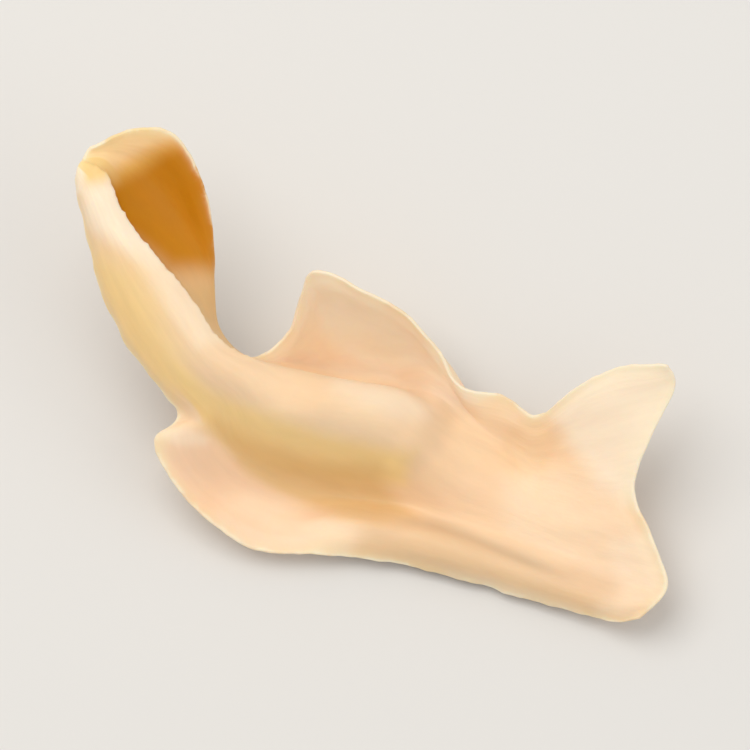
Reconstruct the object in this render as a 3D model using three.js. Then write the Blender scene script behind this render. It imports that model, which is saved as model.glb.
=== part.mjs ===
// One dried scale of a lily bulb: a single thin, pleated piece with a curled horn at the tip, a fold
// along its middle, a rounded lip on the near margin, a back flap and a torn, winged base.
// Millimetres, +Z up. It lies on its belly. The origin is under the middle of its box, on the table.
import * as THREE from 'three';

// Driving sizes.
const MARGIN_THICKNESS = 0.65;
const LINE_THICKNESS = [0.65, 1.0, 1.2, 1.2, 1.1, 0.95, 1.0, 0.65];   // in the body, at the eight lines
const HORN_SHARE = 0.3;        // the horn has this share of the body's extra thickness
const HORN_END = 0.22;         // along the length: up to here the scale is as thin as the horn
const BODY_START = 0.45;       // and from here on it is as thick as the body
const TIP_TAPER = 0.08;        // share of the length over which the tip thins to its margin
const BASE_TAPER = 0.08;       // the same at the torn base
const LEAN = THREE.MathUtils.degToRad(15);   // turn about X from the lines' frame to the lying scale
const FLAT_DEPTH = 0.4;        // how much of the belly the flat resting spot cuts off

// The sheet is worked out on a fine grid, softened, and then every few rows and columns are kept.
const ROWS_PER_STATION = 12;
const ROW_STEP = 3;
const COLUMN_STEP = 5;
const KEPT_COLUMNS = [3, 5, 6, 3, 6, 3, 6];   // kept columns from each of the eight lines to the next
const SOFTENING_ALONG = 8;
const SOFTENING_ACROSS = 14;

// Eight lines run the length of the scale, from the horn's tip to the torn base, through the same
// nineteen stations. X runs along the scale, Y across it and Z up out of its hollow side.

// The near margin: down the horn's outer side, round the flap's corner and along the lip.
const NEAR_MARGIN = [
  [-23.8, 15.9, 9.9], [-23.7, 14.1, 9.8], [-22.9, 11.1, 8.8], [-21.9, 6.8, 7], [-19.6, 2.4, 5.6],
  [-17, -1.1, 4.8], [-15.7, -3.2, 4.5], [-17.9, -4.9, 4.6], [-15.4, -9.5, 3.8], [-10, -13.8, 2.6],
  [-5.1, -14.3, 2.2], [-0.3, -14.7, 1.7], [4.1, -15.5, 1.5], [8.1, -16.6, 1.7], [10.7, -17.4, 1.9],
  [13.2, -18.1, 2.2], [17.3, -19.2, 3], [19.7, -19.8, 4], [21.4, -19.4, 5.4],
];

// The ridge of the lip, past which the sheet turns down to its near margin.
const LIP_RIDGE = [
  [-23.9, 16.2, 10.4], [-23.4, 14.5, 10.9], [-22.3, 11.4, 10.2], [-21.2, 7.3, 8.8],
  [-19, 3.1, 7.6], [-16.3, -0.4, 6.6], [-14.2, -2.9, 5.3], [-15.1, -4.5, 5], [-12.4, -9.1, 1.2],
  [-7.6, -11.6, 0.5], [-3.2, -11.9, 1.5], [1.4, -12.4, 2.2], [5.1, -13.4, 2.8], [8.6, -14.7, 3.1],
  [11.2, -15.5, 3.2], [13.8, -16.4, 3.5], [17.8, -17.8, 4.1], [20.7, -18.4, 4.8], [23, -18.1, 6],
];

// The valley between the flap and the fold.
const VALLEY = [
  [-23.9, 16.6, 10.8], [-23, 15.2, 11.7], [-21.6, 11.9, 11.3], [-19.9, 8.2, 10.4],
  [-17.6, 4.2, 9.4], [-14.9, 0.7, 8.4], [-12.3, -1.9, 6.4], [-11.4, -4.9, 2.8], [-8.6, -6.9, 0.6],
  [-4.9, -8.6, -0.7], [-1.4, -9.5, -0.8], [2.7, -10.3, -0.4], [5.7, -11.4, 0.4], [8.9, -12.3, 1.2],
  [11.6, -13.1, 1.6], [14.3, -13.8, 2.2], [18.4, -15.3, 3.3], [21.2, -15.9, 4.5],
  [23.9, -16.8, 6.1],
];

// The brow of the fold, on the near side of its top.
const BROW = [
  [-23.8, 17.1, 11], [-22.5, 15.8, 11.8], [-21, 12.6, 11.6], [-18.6, 9.1, 11.2],
  [-15.9, 5.7, 10.6], [-13.4, 2, 9.8], [-10.5, 0, 8.8], [-8.1, -1.8, 7.8], [-5.4, -2.6, 7.5],
  [-2.7, -3.1, 6.5], [0.8, -3.9, 5], [3.8, -5.8, 3.1], [6.4, -7.8, 1.6], [9.2, -9.2, 1.3],
  [11.6, -10.1, 1.4], [13.8, -11.1, 2], [17.3, -11.9, 3.2], [20, -12.2, 4.4], [22.6, -12.7, 6],
];

// The crest, where the fold turns over: the horn's inner edge, then the far side of the fold's top.
const CREST = [
  [-23.6, 17.5, 10.9], [-22.1, 16.4, 11.6], [-20.6, 13, 11.4], [-18, 9.6, 10.8],
  [-15.2, 6.3, 10.2], [-12.7, 2.6, 9.4], [-9.5, 0.9, 7.8], [-6.6, 0.1, 6.8], [-4.1, -0.5, 6.4],
  [-1.4, -1, 5.5], [2.2, -1.8, 4.2], [4.6, -3.8, 2.6], [6.9, -5.4, 1.4], [9.3, -6.5, 0.8],
  [11.4, -7.6, 0.6], [13.2, -8.4, 1], [16.5, -8.9, 2.4], [19.1, -9.2, 4], [21.2, -9.1, 5.8],
];

// The foot of the fold's far wall, down in the hollow behind it.
const HOLLOW = [
  [-23.4, 17.8, 10.7], [-21.8, 17, 10.4], [-20.3, 13.4, 8.8], [-17.6, 10, 7.8], [-14.8, 6.6, 7.2],
  [-12.5, 2.8, 6.2], [-9.2, 0.9, 4.6], [-6.4, -0.1, -0.6], [-3.8, -0.8, -2.5], [-1.2, -1, -2.6],
  [2.4, -1.1, -2.2], [4.9, -1.2, -0.2], [7, -2.8, 0.5], [9.2, -4.3, 0.3], [11.2, -5.3, 0.2],
  [13.2, -6.4, 0.6], [16.4, -5.9, 2.4], [19.1, -5.7, 4.4], [22.3, -5.1, 6.9],
];

// Where the hood's inner wall, the back flap and the wing start to rise.
const RISE = [
  [-23.1, 18.2, 10.6], [-21.3, 18.1, 9.3], [-18.2, 15.9, 6.8], [-15.5, 12.3, 5.4],
  [-13.5, 8.4, 4.8], [-12.6, 3.4, 3.2], [-9.6, 1.1, 1.6], [-6.8, 1.2, -1.7], [-4.3, 1.2, -3.5],
  [-1.8, 1.1, -3.6], [1.8, 0.9, -3.1], [4.1, 1.2, -0.2], [6.2, -0.1, 0.9], [8.4, -2.6, 0.8],
  [10.9, -3.4, 1.1], [13.2, -4.6, 1.2], [16.2, -3, 3.7], [19.5, -1.9, 6], [24.5, -0.4, 8.2],
];

// The far margin: over the hood, down to the deep notch, over the back flap and out to the wing.
const FAR_MARGIN = [
  [-22.7, 18.6, 10.6], [-20.4, 19.9, 9.9], [-16.5, 20.2, 9.2], [-13.7, 16.1, 7.4],
  [-12.8, 10.8, 5], [-13.1, 5, 2], [-10.7, 1.7, 0.8], [-7.3, 3.2, 0.4], [-5.8, 6.8, 3.6],
  [-4.9, 8.9, 5.8], [-0.5, 7, 5.8], [2.7, 5.3, 5], [5.1, 2.4, 3.6], [7.2, -0.7, 2.3],
  [10.6, -1.2, 2], [13.1, -3, 2], [16.1, -0.8, 5], [19.9, 1.1, 7.2], [23.8, 1.2, 9.4],
];

const LINES = [NEAR_MARGIN, LIP_RIDGE, VALLEY, BROW, CREST, HOLLOW, RISE, FAR_MARGIN];

function smoothCurve(points) {
  return new THREE.CatmullRomCurve3(points, false, 'centripetal');
}

// Where the fine columns lie, counted in lines: 0 on the near margin, 7 on the far one. Columns fall
// on the lines themselves, so that a fold's edge runs along one column.
function columnPlaces() {
  const places = [];
  KEPT_COLUMNS.forEach((kept, line) => {
    const steps = kept * COLUMN_STEP;
    for (let step = 0; step < steps; step += 1) {
      places.push(line + step / steps);
    }
  });
  places.push(KEPT_COLUMNS.length);
  return places;
}

const COLUMN_PLACES = columnPlaces();

// A grid of points, rows along the length and columns across: at every row a curve is laid across
// the eight lines, from the near margin to the far one, and read at the columns' places.
function layOutSheet() {
  const alongCurves = LINES.map((line) => smoothCurve(line.map((point) => new THREE.Vector3(...point))));
  const lastRow = (NEAR_MARGIN.length - 1) * ROWS_PER_STATION;
  const sheet = [];
  for (let row = 0; row <= lastRow; row += 1) {
    const across = smoothCurve(alongCurves.map((curve) => curve.getPoint(row / lastRow)));
    sheet.push(COLUMN_PLACES.map((place) => across.getPoint(place / KEPT_COLUMNS.length)));
  }
  return sheet;
}

function blended(before, point, after) {
  return point.clone().multiplyScalar(0.5).addScaledVector(before, 0.25).addScaledVector(after, 0.25);
}

// One pass along the length: each inner row moves towards the mean of the rows beside it.
function softenAlong(sheet) {
  return sheet.map((points, row) => {
    if (row === 0 || row === sheet.length - 1) {
      return points;
    }
    return points.map((point, column) => blended(sheet[row - 1][column], point, sheet[row + 1][column]));
  });
}

// One pass across: each inner point moves towards the mean of the points beside it in its row.
function softenAcross(sheet) {
  return sheet.map((points) => points.map((point, column) => {
    if (column === 0 || column === points.length - 1) {
      return point;
    }
    return blended(points[column - 1], point, points[column + 1]);
  }));
}

// The middle surface of the scale, softened so that no fold is tighter than the scale is thick.
function middleSurface() {
  let sheet = layOutSheet();
  for (let pass = 0; pass < SOFTENING_ALONG; pass += 1) {
    sheet = softenAlong(sheet);
  }
  for (let pass = 0; pass < SOFTENING_ACROSS; pass += 1) {
    sheet = softenAcross(sheet);
  }
  const kept = sheet.filter((points, row) => row % ROW_STEP === 0);
  return kept.map((points) => points
    .filter((point, column) => column % COLUMN_STEP === 0)
    .map((point) => point.clone().applyAxisAngle(new THREE.Vector3(1, 0, 0), LEAN)));
}

// The unit normal of the grid at one point, from the differences along and across it.
function normalAt(grid, row, column) {
  const lastRow = grid.length - 1;
  const lastColumn = grid[0].length - 1;
  const along = grid[Math.min(row + 1, lastRow)][column].clone().sub(grid[Math.max(row - 1, 0)][column]);
  const across = grid[row][Math.min(column + 1, lastColumn)].clone()
    .sub(grid[row][Math.max(column - 1, 0)]);
  return along.cross(across).normalize();
}

// How thick the scale is: thin at its margins, thin all through the horn, thickest in the body.
function thicknessAt(u, place) {
  const line = Math.min(Math.floor(place), LINE_THICKNESS.length - 2);
  const bodyThickness = THREE.MathUtils.lerp(LINE_THICKNESS[line], LINE_THICKNESS[line + 1], place - line);
  const hornToBody = HORN_SHARE + (1 - HORN_SHARE) * THREE.MathUtils.smoothstep(u, HORN_END, BODY_START);
  const fromTip = THREE.MathUtils.smoothstep(u, 0, TIP_TAPER);
  const fromBase = THREE.MathUtils.smoothstep(1 - u, 0, BASE_TAPER);
  return MARGIN_THICKNESS + (bodyThickness - MARGIN_THICKNESS) * hornToBody * fromTip * fromBase;
}

// The two faces of the scale, each half the thickness to one side of the middle surface.
function twoFaces(grid) {
  const upper = [];
  const lower = [];
  grid.forEach((points, row) => points.forEach((point, column) => {
    const half = thicknessAt(row / (grid.length - 1), COLUMN_PLACES[column * COLUMN_STEP]) / 2;
    const normal = normalAt(grid, row, column);
    upper.push(point.clone().addScaledVector(normal, half));
    lower.push(point.clone().addScaledVector(normal, -half));
  }));
  return upper.concat(lower);
}

// Sets the points down on Z = 0 with the belly cut flat there, and their box's middle over the origin.
function setDown(points) {
  const box = new THREE.Box3().setFromPoints(points);
  const middle = box.getCenter(new THREE.Vector3());
  points.forEach((point) => {
    point.x -= middle.x;
    point.y -= middle.y;
    point.z = Math.max(point.z - box.min.z - FLAT_DEPTH, 0);
  });
}

// Two triangles on four corners that run anticlockwise, seen from outside.
function pushQuad(indices, a, b, c, d) {
  indices.push(a, b, c, a, c, d);
}

// The upper face, the lower face split along the same diagonals, and a strip round all four margins.
function skinIndices(rows, columns) {
  const indices = [];
  const under = rows * columns;
  const at = (row, column) => row * columns + column;
  for (let row = 0; row < rows - 1; row += 1) {
    for (let column = 0; column < columns - 1; column += 1) {
      const a = at(row, column);
      const b = at(row + 1, column);
      const c = at(row + 1, column + 1);
      const d = at(row, column + 1);
      pushQuad(indices, a, b, c, d);
      indices.push(a + under, c + under, b + under, a + under, d + under, c + under);
    }
  }
  const rim = [];
  for (let row = 0; row < rows - 1; row += 1) {
    rim.push(at(row, 0));
  }
  for (let column = 0; column < columns - 1; column += 1) {
    rim.push(at(rows - 1, column));
  }
  for (let row = rows - 1; row > 0; row -= 1) {
    rim.push(at(row, columns - 1));
  }
  for (let column = columns - 1; column > 0; column -= 1) {
    rim.push(at(0, column));
  }
  rim.forEach((here, place) => {
    const next = rim[(place + 1) % rim.length];
    pushQuad(indices, here, here + under, next + under, next);
  });
  return indices;
}

function scaleGeometry() {
  const grid = middleSurface();
  const points = twoFaces(grid);
  setDown(points);
  const geometry = new THREE.BufferGeometry().setFromPoints(points);
  geometry.setIndex(skinIndices(grid.length, grid[0].length));
  geometry.computeVertexNormals();
  return geometry;
}

// Dried scale flesh: warm cream, dull, with a faint waxy gloss.
const driedFlesh = new THREE.MeshStandardMaterial({ color: 0xf2d3a4, roughness: 0.55, metalness: 0 });

const lilyScale = new THREE.Mesh(scaleGeometry(), driedFlesh);
lilyScale.name = 'lily_scale';

const driedLilyBulbScale = new THREE.Group();
driedLilyBulbScale.add(lilyScale);

export default driedLilyBulbScale;
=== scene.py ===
"""The finished looks of one dried scale of a lily bulb: its surface, material, floor, lights and camera."""
import math

import bpy
import numpy as np
from bpy.props import FloatProperty, FloatVectorProperty, PointerProperty
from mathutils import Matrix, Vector


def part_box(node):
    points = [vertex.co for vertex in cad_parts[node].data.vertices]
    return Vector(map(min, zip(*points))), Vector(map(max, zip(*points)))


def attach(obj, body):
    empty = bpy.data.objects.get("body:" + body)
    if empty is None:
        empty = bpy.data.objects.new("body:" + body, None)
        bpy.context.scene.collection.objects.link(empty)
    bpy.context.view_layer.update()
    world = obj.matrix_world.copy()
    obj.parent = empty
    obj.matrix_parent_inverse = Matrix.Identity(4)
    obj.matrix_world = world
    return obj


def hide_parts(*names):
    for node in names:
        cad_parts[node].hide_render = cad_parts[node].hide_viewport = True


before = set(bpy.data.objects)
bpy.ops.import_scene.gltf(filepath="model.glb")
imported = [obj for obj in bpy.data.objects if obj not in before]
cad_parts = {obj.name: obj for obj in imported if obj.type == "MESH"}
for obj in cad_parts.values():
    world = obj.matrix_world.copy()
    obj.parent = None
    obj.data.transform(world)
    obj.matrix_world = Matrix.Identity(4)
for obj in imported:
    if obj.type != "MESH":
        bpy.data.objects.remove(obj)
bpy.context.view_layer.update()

bl_info = {
    "name": "Dried Lily Bulb Scale",
    "version": (1, 0, 0),
    "blender": (4, 5, 0),
    "location": "3D View > Sidebar > Lily Scale",
    "description": "Builds the finished surface of a dried lily bulb scale and a studio stage for it",
    "category": "Add Mesh",
}

NODE = "lily_scale"
BODY = "root"
SLOT = "dried_flesh"
PIECE = "lily_scale_flesh"
MM = 0.001  # the surface is worked out in millimetres and kept in metres
SEED = 11
SHORTEST = 1e-12  # no vector's length is counted as less

# The sheet's grid and its softening are those of the solid that it dresses.
ROWS_PER_STATION = 12
COLUMNS_BETWEEN_LINES = (15, 25, 30, 15, 30, 15, 30)
SOFTENING_ALONG = 8
SOFTENING_ACROSS = 14
LEAN = math.radians(15)  # turn about X from the lines' frame to the lying scale
FLAT_DEPTH = 0.4  # how much of the belly the flat resting spot cuts off

# Thickness of the solid in millimetres: at the margins, and in the body at each of the eight lines.
SOLID_MARGIN = 0.65
LINE_THICKNESS = (0.65, 1.0, 1.2, 1.2, 1.1, 0.95, 1.0, 0.65)
HORN_SHARE = 0.3  # the horn has this share of the body's extra thickness
HORN_END = 0.22  # along the length: up to here the scale is as thin as the horn
BODY_START = 0.45  # and from here on it is as thick as the body
END_TAPER = 0.08  # share of the length over which tip and base thin to their margins

# Two of the eight lines, by their number from the near margin.
BROW_LINE = 3
CREST_LINE = 4

# Finish of the surface, in millimetres.
MARGIN_ROUND_STEPS = (30, 60, 90)  # degrees round the edge at which a row of points is added
MARGIN_FADE = 1.8  # how far in from a margin the sheet reaches its full thickness
NIBBLE_FADE = 2.2  # how far in from a margin its unevenness is still felt
WAVE_FADE = 1.6  # and its waviness
NIBBLE_WAVELENGTHS = (1.3, 2.1, 3.7, 6.1)
WAVE_WAVELENGTHS = (3.1, 4.7, 7.9)
BASE_WAVELENGTHS = (2.3, 4.1, 6.7, 10.3)
RIPPLE_SLANT = 0.2  # how much the margins' waves and the ribs' sway lean across the length
VEIN_SWAY = 0.7  # how far a rib sways, counted in ribs
VEIN_SWAY_WAVELENGTHS = (11, 19, 31)
VEIN_FADE_WAVELENGTHS = (9, 13, 21)
VEIN_FADE_SLANT = 0.8
VEIN_MARGIN = 1.5  # how far in from a margin the ribs reach their full height
TORN_WAVELENGTHS = (0.7, 1.1, 1.7, 3.4)
TORN_SHARE = 0.4  # share of the horn lip's height that its raggedness takes
HORN_LIP_STATIONS = (0.5, 6.0)  # from and to, in stations
HORN_LIP_END_FADE = 1.2  # in stations too
HORN_LIP_PLACE = 0.1  # how far past the crest
HORN_LIP_WIDTH = 0.2

# Outlines and paths seen from above, in the lines' frame. Each keeps to some places across. A place counts
# the lines from the near margin, and its limits ease over the place fade.
PLACE_FADE = 0.2
PATH_POINTS = 30
PATH_END_FADE = 0.3
LIP_PLACES = (-1, 3.2)
FOLD_PLACES = (1.4, 4.4)
DENT_PLACES = (3.4, 8)
GROOVE = [(1, -12.2), (3.8, -12), (6.5, -12.7), (9.2, -13.7), (11.9, -14.8), (14.6, -15.8), (17.3, -16.7)]
GROOVE_WIDTH = 0.5
GROOVE_ENDS = (0.12, 0.86)
RIDGE = [(-6.3, -12.8), (-5.2, -12), (-3.3, -11.8), (-1.4, -12), (0.5, -12.3), (2.7, -12.3)]
RIDGE_WIDTH = 0.4
RIDGE_ENDS = (0.15, 0.85)
FOLD_OUTLINE = [
    (-15.2, 3), (-12.5, 2.1), (-7.4, 1.3), (-1.9, 0.1), (2.1, -1), (3.9, -1.9), (4.8, -3.6), (4.7, -5.2),
    (3.5, -6.8), (1, -7.3), (-3.3, -6.7), (-7.4, -5.5), (-11.4, -4), (-15.2, -1.7),
]
FOLD_FADE = 1.4
DENT_OUTLINE = [
    (11.1, -4), (13, -3.4), (15.2, -3.6), (15.7, -4.6), (14.6, -6.3), (13.8, -7.9), (11.4, -7.4),
    (10.4, -6),
]
DENT_FADE = 1.6

# Patches of colour: tint, strength, fade, places across from and to, the share that shows on the lower face,
# and the outline. The tints are laid over each other in this order.
# Some patches are painted shade or painted light, as their notes say.
TINTS = ("straw", "amber", "gold", "tan", "blush", "pale", "ivory", "dull")
PATCHES = (
    # The hood's rim.
    ("straw", 0.5, 1.4, (4.6, 8), 0.5, [(-23.9, 17.6), (-22.8, 20.1), (-17.4, 21.7), (-12.5, 21.1),
     (-10.9, 16.3), (-11.4, 10.8), (-12.5, 6.5), (-14.7, 10.3), (-17.4, 14.9), (-21.5, 14.9)]),
    # Its inner side: the lighter edge of the painted golden shade.
    ("amber", 0.7, 1.8, (4.4, 8), 0.2, [(-21.8, 15.3), (-20.2, 17.3), (-18.1, 18.6), (-15.9, 19.2),
     (-14.3, 18.8), (-14.3, 17.6), (-16.4, 16.6), (-18.6, 15.5), (-20.3, 14.2)]),
    # Inside of the horn: painted golden shade.
    ("gold", 1, 3, (4.3, 8), 0.15, [(-22.7, 15.2), (-20.9, 16.4), (-18.8, 17.6), (-17.1, 18.8), (-14.7, 19.8),
     (-12.8, 18), (-11.4, 13.5), (-11.3, 10.2), (-13.1, 8.8), (-16.6, 8.6), (-22.3, 12.9)]),
    # The fading end of that painted golden shade.
    ("gold", 0.5, 5, (4.3, 8), 0.15, [(-19.6, 13.5), (-11.4, 12.7), (-10.9, 6.5), (-12, 4.3), (-14.7, 4.3),
     (-18, 8.1)]),
    # The foot of the hood: painted shade.
    ("tan", 0.85, 3.4, (4.25, 8), 0.3, [(-16.6, 7.6), (-11.4, 8.1), (-10.1, 4.6), (-9.5, 0.2), (-13.6, 1.6),
     (-15.2, 4.3)]),
    # The horn's tip.
    ("straw", 0.9, 1, (2.4, 5.4), 0.5, [(-23.9, 17.6), (-22.8, 19.5), (-20.9, 18.7), (-20.7, 17.3),
     (-20.5, 16.1), (-21.5, 15.7), (-22.8, 15.7), (-23.4, 16.3)]),
    # The tan behind it.
    ("tan", 0.3, 1.2, (2.8, 5.4), 0.5, [(-23.3, 17.3), (-22.3, 18.7), (-20.4, 18.4), (-20.1, 16.3),
     (-21.2, 15.5), (-22.7, 15.6)]),
    # The tip's pale rim.
    ("pale", 0.8, 0.9, (-1, 3), 0.3, [(-24.3, 16.5), (-23.9, 17.9), (-23.3, 18.4), (-23.1, 17.2),
     (-23.2, 15.3), (-23.7, 14.9)]),
    # The horn's pale end.
    ("pale", 0.95, 1.8, (-1, 4.3), 0.3, [(-23.3, 15.3), (-21.5, 15.7), (-20.5, 15.2), (-18.5, 12.7),
     (-16.3, 10), (-17.7, 9.2), (-20.4, 10.8), (-22.3, 12.2), (-23.1, 13.8)]),
    # Its warm back.
    ("straw", 0.8, 3.6, (-1, 4.3), 0.3, [(-24.2, 15.2), (-23.4, 12.7), (-22.3, 10.8), (-20.4, 9.7),
     (-18.8, 8.7), (-17.4, 6.5), (-16.2, 3.8), (-15.1, 1.5), (-14.7, 0), (-16.1, -1.4), (-17.7, -0.4),
     (-19.6, 1.8), (-21.6, 5.2), (-23.6, 9.2), (-24.7, 13.5)]),
    # Its lower edge: a little painted golden shade.
    ("gold", 0.09, 1.6, (-1, 2.8), 0.2, [(-23.9, 13.5), (-22.6, 10.8), (-20.9, 8.4), (-19, 5.7), (-17.4, 3),
     (-15.5, 0.2), (-13.9, -2.5), (-14.7, -3.6), (-17.7, -0.8), (-20.4, 3.2), (-22.8, 7.6), (-24.2, 10.8)]),
    # The horn's inner edge: a painted highlight.
    ("pale", 0.5, 1.4, (2.6, 4.35), 0, [(-20.4, 13.8), (-18, 11.4), (-15.8, 8.7), (-14.4, 5.9), (-12.5, 2.7),
     (-14.2, 2.7), (-16.1, 5.1), (-18, 8.1), (-20.4, 11.6)]),
    # The fold's end: a painted highlight.
    ("pale", 0.5, 1.8, (2.2, 5), 0, [(-3.8, 0.4), (1.6, -0.7), (4.6, -1.8), (5.1, -3), (3.5, -3.6),
     (0.5, -2.7), (-3.3, -1.2)]),
    # Near wall of the fold: painted warm shade.
    ("straw", 0.84, 1.8, (1.2, 3.6), 0.2, [(-15.8, 1.3), (-12.5, -0.8), (-8.7, -2.3), (-3.8, -4), (1, -5.2),
     (3.2, -5.7), (2.7, -8.2), (-3.3, -7.9), (-8.7, -6.8), (-12.5, -4.6), (-15.2, -2.2)]),
    # The valley: painted shade.
    ("tan", 0.75, 2.4, (0.9, 3.9), 0.2, [(-12.8, -3.3), (-8.7, -5.5), (-2.8, -6.3), (0.5, -6.5), (1.3, -8.2),
     (2.4, -10.3), (3.2, -11.7), (-1.1, -12.4), (-4.7, -11.2), (-8.2, -9.5), (-11.4, -7.1)]),
    # The valley's upper end: painted golden shade.
    ("gold", 0.12, 2, (1.2, 3.6), 0.1, [(-14.2, -1.8), (-10.9, -3.1), (-7.1, -4.9), (-5.2, -7.1),
     (-7.4, -8.2), (-10.1, -6.8), (-12.8, -4.6)]),
    # The fold's shaded end.
    ("dull", 0.3, 1.8, (1.6, 6), 0, [(3.8, -3.1), (5.7, -1.9), (6.6, -3.3), (5.4, -5.2), (3.5, -7.1),
     (2.4, -6.3)]),
    # The flap.
    ("blush", 0.8, 1.6, (-1, 2.2), 0.6, [(-16.3, -3.6), (-13.1, -4.9), (-10.1, -7.9), (-6, -10.3),
     (-3.3, -11.7), (-6, -14.4), (-11.4, -13.9), (-15.8, -11.2), (-17.1, -6.8)]),
    # The flap's upper margin.
    ("pale", 0.5, 0.9, (-1, 2.4), 0.3, [(-17.6, -4), (-14.7, -4), (-13.5, -4.6), (-13.8, -5.2), (-15.8, -5.2),
     (-17.2, -4.9)]),
    # The flap's pale margin, with a painted highlight.
    ("pale", 0.4, 2.6, (-1, 1.6), 0.3, [(-12.5, -10.1), (-10.4, -9.5), (-7.4, -10.2), (-4.9, -11.2),
     (-2.5, -11.6), (-0.6, -12), (-1.4, -12.8), (-3.8, -13.2), (-6.6, -14.1), (-10.9, -14.1), (-13.6, -12)]),
    # The lip: painted shade where it turns down.
    ("tan", 0.3, 1.6, (-1, 1.8), 0.5, [(-1.1, -12.9), (2.1, -12.7), (4.8, -12.8), (8.1, -13.9), (11.1, -15.2),
     (13.8, -16.3), (17.3, -17.4), (19.5, -18.8), (18.4, -20.1), (15.7, -19.6), (10.3, -17.7), (4.8, -16.3),
     (0, -15.5), (-1.9, -14.7)]),
    # Its upper part: painted shade.
    ("dull", 0.27, 2.8, (-1, 2.6), 0.3, [(-0.6, -11.4), (1, -11.4), (2.7, -11.6), (5.1, -12), (8.1, -13.2),
     (11.1, -14.3), (13.8, -15), (16.8, -15.6), (19.5, -16.5), (19.2, -17.9), (16.2, -17.9), (13.8, -17.3),
     (10.3, -16.2), (4.8, -15), (0.5, -14.4), (-1.4, -13.6)]),
    # Its shaded end.
    ("dull", 0.25, 1.8, (-1, 3), 0.3, [(16.1, -15.3), (19.1, -15.6), (21, -16.4), (20, -17.4), (17.4, -17.2),
     (15.3, -16.3)]),
    # Its lower margin.
    ("pale", 0.3, 1.4, (-1, 0.9), 0.3, [(5.9, -15.4), (8.9, -16), (13, -17.2), (16.8, -18.5), (17.3, -19.6),
     (13, -18.4), (8.9, -17.1), (5.7, -16.2)]),
    # The lip's bright corner.
    ("pale", 0.35, 1.8, (-1, 3), 0.3, [(19.5, -13.1), (22.2, -12), (24.1, -15.2), (23.6, -17.7), (21.1, -19),
     (18.1, -19.2), (17.9, -18.2), (19.8, -17.7), (19.5, -15.8)]),
    # The dent: painted shade in it.
    ("tan", 0.15, 1, (3.5, 7.5), 0, DENT_OUTLINE),
    # The wing: painted light.
    ("pale", 0.9, 2.4, (3.2, 8), 0.4, [(14.3, -2.5), (17.3, 0.5), (21.1, 2.1), (25.5, 2.1), (24.9, -1.7),
     (23.8, -7.6), (23.8, -10.3), (20.6, -9.9), (18.4, -8.4), (16.5, -5.7)]),
    # The back flap: painted light.
    ("pale", 0.92, 2.4, (4.5, 8), 0.3, [(-10.2, 2.3), (-7.4, 4.6), (-6.8, 8.9), (-3.8, 9.7), (1, 6.2),
     (4.8, 3), (9.5, -0.8), (6.2, -2.2), (-0.6, -0.2), (-6, 1.1)]),
    # Its middle: painted light, lighter still.
    ("ivory", 0.85, 2, (4.5, 8), 0, [(-4.2, 6.2), (-2.9, 6.5), (-0.1, 5.2), (2.8, 3.4), (4.1, 1.7),
     (2.5, 0.7), (-0.1, 1.2), (-2.3, 2.1), (-4, 4.2)]),
    # Its foot: painted shade below the fold's crest.
    ("dull", 0.36, 1.8, (4.3, 7), 0, [(-9.8, 1.6), (-3.3, 2.1), (2.7, 0.8), (7.3, -1), (8.4, -2.7),
     (5.9, -3.3), (3.2, -1.7), (-0.6, -0.6), (-6, 0.5)]),
    # The body's far end.
    ("pale", 0.3, 2.4, (1.6, 8), 0.2, [(10.3, -8.2), (15.2, -7.1), (19.5, -8.2), (22.8, -12.5), (23.8, -16.9),
     (19.5, -16.9), (15.2, -15), (11.1, -12.5)]),
    # The body.
    ("blush", 0.3, 2, (2, 6), 0.2, [(4.3, -8.7), (7.6, -7.6), (11.1, -7.9), (13, -9.8), (13, -12.5),
     (10.3, -12.5), (6.2, -11.4)]),
)
FIELD_LENGTH = 10.0  # the lengths kept on the surface are counted in centimetres
PALE_EDGE = 0.22  # how far in the pale edge fades

# Finish of the material. A noise has a scale, a detail, a roughness and a distortion.
CLOUDS = (70.0, 2.0, 0.5, 0.0)
CLOUD_RANGE = (0.35, 0.65)
DRAWN_OUT = (0.22, 1.0, 1.0)  # streaks and wrinkles are longer than broad
STREAKS = (9.0, 4.0, 0.55, 0.0)
STREAK_RANGE = (0.3, 0.7)
ROUGHNESS_SWAY = 0.06
# Share of the painted shade in the groove behind the lip.
CREASE_SHADE_SHARE = 0.4
BROKEN_EDGE = (500.0, 3.0, 0.5, 0.0)
BROKEN_EDGE_RANGE = (0.4, 0.6, 0.1, 0.8)
WRINKLES = (24.0, 4.0, 0.55, 0.3)
SKIN = (2600.0, 3.0, 0.6, 0.0)
SKIN_SHARE = 0.25  # height of the skin's grain beside that of the wrinkles
BUMP_STRENGTH = 0.2
BUMP_DEPTH = 0.00012
SCATTER_LENGTH = 0.0012
SCATTER_COLOURS = (1.0, 0.6, 0.35)  # share of that length that red, green and blue light travel

# Stage, in metres, with lamps as name, degrees round from the front, degrees up, size, power and colour.
FLOOR_SIZE = 3.0
LAMP_DISTANCE = 0.5
KEY_LAMP = ("key_light", -130, 68, 0.35, "key_power", (1.0, 0.97, 0.93))
FILL_LAMP = ("fill_light", 70, 40, 0.4, "fill_power", (1.0, 0.98, 0.96))
SKY_COLOUR = (1.0, 0.985, 0.96)
SENSOR = 36.0  # millimetres, as Blender counts it
FLOOR_CLOUDS = (6.0, 3.0, 0.5, 0.0)
FLOOR_CLOUD_RANGE = (0.3, 0.7)
FLOOR_SHADE = 0.985  # how dark its clouds are beside the rest

# Eight lines run the length of the scale, from the horn's tip to its torn base, through the same nineteen
# stations. Millimetres: X along the scale, Y across it and Z up out of its hollow side.

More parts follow.
